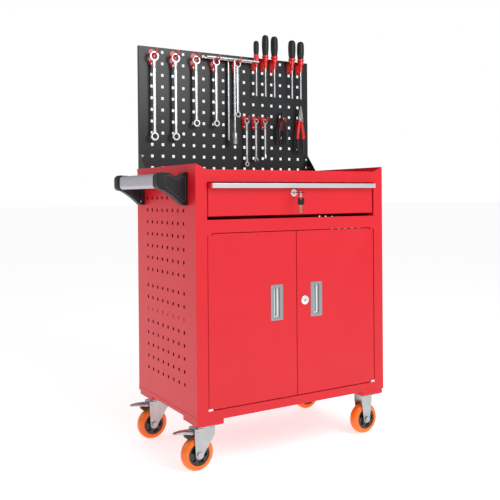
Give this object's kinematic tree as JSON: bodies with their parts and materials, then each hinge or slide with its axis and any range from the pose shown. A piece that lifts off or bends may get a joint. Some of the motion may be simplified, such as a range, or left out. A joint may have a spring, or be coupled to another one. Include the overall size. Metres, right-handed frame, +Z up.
{
  "type": "rolling tool cabinet",
  "caption": "Rolling steel tool cabinet with a work tray, drawer, two-door cupboard, perforated tool board with hung hand tools, side push handle and braked swivel casters.",
  "frame": {"origin": "on the floor, under the centre of the overall box", "axes": "+Z up, the drawer and doors face -Y, +X towards the cabinet's right-hand side, away from the push handle"},
  "size_m": [0.789, 0.4826, 1.3803],
  "materials": {
    "red_paint": "gloss powder coat",
    "black_paint": "semi-gloss powder coat",
    "red_hook": "gloss",
    "zinc": "zinc plated",
    "chrome": "polished",
    "silver_grip": "satin anodised",
    "steel_pull": "brushed",
    "black_plastic": "moulded",
    "black_core": "moulded",
    "orange_tyre": "polyurethane",
    "white_nylon": "moulded",
    "plier_grip": "dipped"
  },
  "bodies": {
    "cabinet": {"left_side_panel": "red_paint", "right_side_panel": "red_paint", "back_panel": "red_paint", "bottom_pan": "red_paint", "front_frame": "red_paint", "worktop_tray": "red_paint", "cupboard_shelf": "red_paint", "tool_board": "black_paint", "board_gussets": "black_paint", "pan_head_bolts": "zinc", "handle_brackets": "black_plastic", "handle_grip": "silver_grip", "drawer_slides_fixed": "zinc", "door_bushes": "white_nylon", "tool_hooks": "red_hook", "screwdriver_holders": "red_hook", "ring_spanners": "chrome", "small_spanners": "chrome", "t_handle_wrenches": "chrome", "screwdriver_handles": "black_plastic", "screwdriver_blades": "chrome", "pliers_heads": "chrome", "pliers_grips": "plier_grip", "caster_pads": "red_paint", "swivel_plates": "zinc", "rigid_forks": "zinc", "rigid_axles": "zinc"},
    "drawer": {"drawer_front": "red_paint", "drawer_box": "red_paint", "drawer_pull": "silver_grip", "drawer_slides_moving": "zinc", "drawer_lock_barrel": "chrome", "key_ring": "chrome", "spare_key": "black_plastic"},
    "drawer_lock": {"drawer_lock_plug": "chrome", "drawer_lock_cam": "zinc", "drawer_key": "black_plastic"},
    "left_door": {"left_door": "red_paint", "left_door_pull": "steel_pull", "left_door_pins": "zinc"},
    "right_door": {"right_door": "red_paint", "right_door_pull": "steel_pull", "right_door_pins": "zinc", "door_lock_barrel": "chrome"},
    "door_lock": {"door_lock_plug": "chrome", "door_lock_cam": "zinc"},
    "front_swivel": {"front_swivel_fork": "zinc", "front_swivel_axle": "zinc"},
    "front_brake": {"front_swivel_brake_pedal": "zinc"},
    "front_swivel_wheel": {"front_swivel_wheel_core": "black_core", "front_swivel_tyre": "orange_tyre"},
    "front_rigid_wheel": {"front_rigid_wheel_core": "black_core", "front_rigid_tyre": "orange_tyre"},
    "rear_swivel": {"rear_swivel_fork": "zinc", "rear_swivel_axle": "zinc"},
    "rear_brake": {"rear_swivel_brake_pedal": "zinc"},
    "rear_swivel_wheel": {"rear_swivel_wheel_core": "black_core", "rear_swivel_tyre": "orange_tyre"},
    "rear_rigid_wheel": {"rear_rigid_wheel_core": "black_core", "rear_rigid_tyre": "orange_tyre"}
  },
  "joints": [
    {"name": "drawer_slide", "type": "slide", "parent": "cabinet", "child": "drawer", "axis": [0, -1, 0], "range_m": [0, 0.33]},
    {"name": "drawer_key_turn", "type": "hinge", "parent": "drawer", "child": "drawer_lock", "pos_m": [0.0365, -0.18749, 0.804], "axis": [0, -1, 0], "range_deg": [0, 90]},
    {"name": "left_door_hinge", "type": "hinge", "parent": "cabinet", "child": "left_door", "pos_m": [-0.2535, -0.18409, 0.18], "axis": [0, 0, -1], "range_deg": [0, 115]},
    {"name": "right_door_hinge", "type": "hinge", "parent": "cabinet", "child": "right_door", "pos_m": [0.3425, -0.18409, 0.18], "axis": [0, 0, 1], "range_deg": [0, 115]},
    {"name": "door_lock_turn", "type": "hinge", "parent": "right_door", "child": "door_lock", "pos_m": [0.0735, -0.18849, 0.4725], "axis": [0, 1, 0], "range_deg": [0, 90]},
    {"name": "front_swivel_turn", "type": "hinge", "parent": "cabinet", "child": "front_swivel", "pos_m": [-0.2555, -0.13849, 0.138], "axis": [0, 0, 1], "continuous": true},
    {"name": "front_brake_press", "type": "hinge", "parent": "front_swivel", "child": "front_brake", "pos_m": [-0.2845, -0.13849, 0.114], "axis": [0, -1, 0], "range_deg": [0, 7]},
    {"name": "front_swivel_wheel_roll", "type": "hinge", "parent": "front_swivel", "child": "front_swivel_wheel", "pos_m": [-0.2775, -0.13849, 0.05], "axis": [0, 1, 0], "continuous": true},
    {"name": "front_rigid_wheel_roll", "type": "hinge", "parent": "cabinet", "child": "front_rigid_wheel", "pos_m": [0.3445, -0.13849, 0.05], "axis": [0, 1, 0], "continuous": true},
    {"name": "rear_swivel_turn", "type": "hinge", "parent": "cabinet", "child": "rear_swivel", "pos_m": [-0.2555, 0.18951, 0.138], "axis": [0, 0, 1], "continuous": true},
    {"name": "rear_brake_press", "type": "hinge", "parent": "rear_swivel", "child": "rear_brake", "pos_m": [-0.2845, 0.18951, 0.114], "axis": [0, -1, 0], "range_deg": [0, 7]},
    {"name": "rear_swivel_wheel_roll", "type": "hinge", "parent": "rear_swivel", "child": "rear_swivel_wheel", "pos_m": [-0.2775, 0.18951, 0.05], "axis": [0, 1, 0], "continuous": true},
    {"name": "rear_rigid_wheel_roll", "type": "hinge", "parent": "cabinet", "child": "rear_rigid_wheel", "pos_m": [0.3445, 0.18951, 0.05], "axis": [0, 1, 0], "continuous": true}
  ]
}
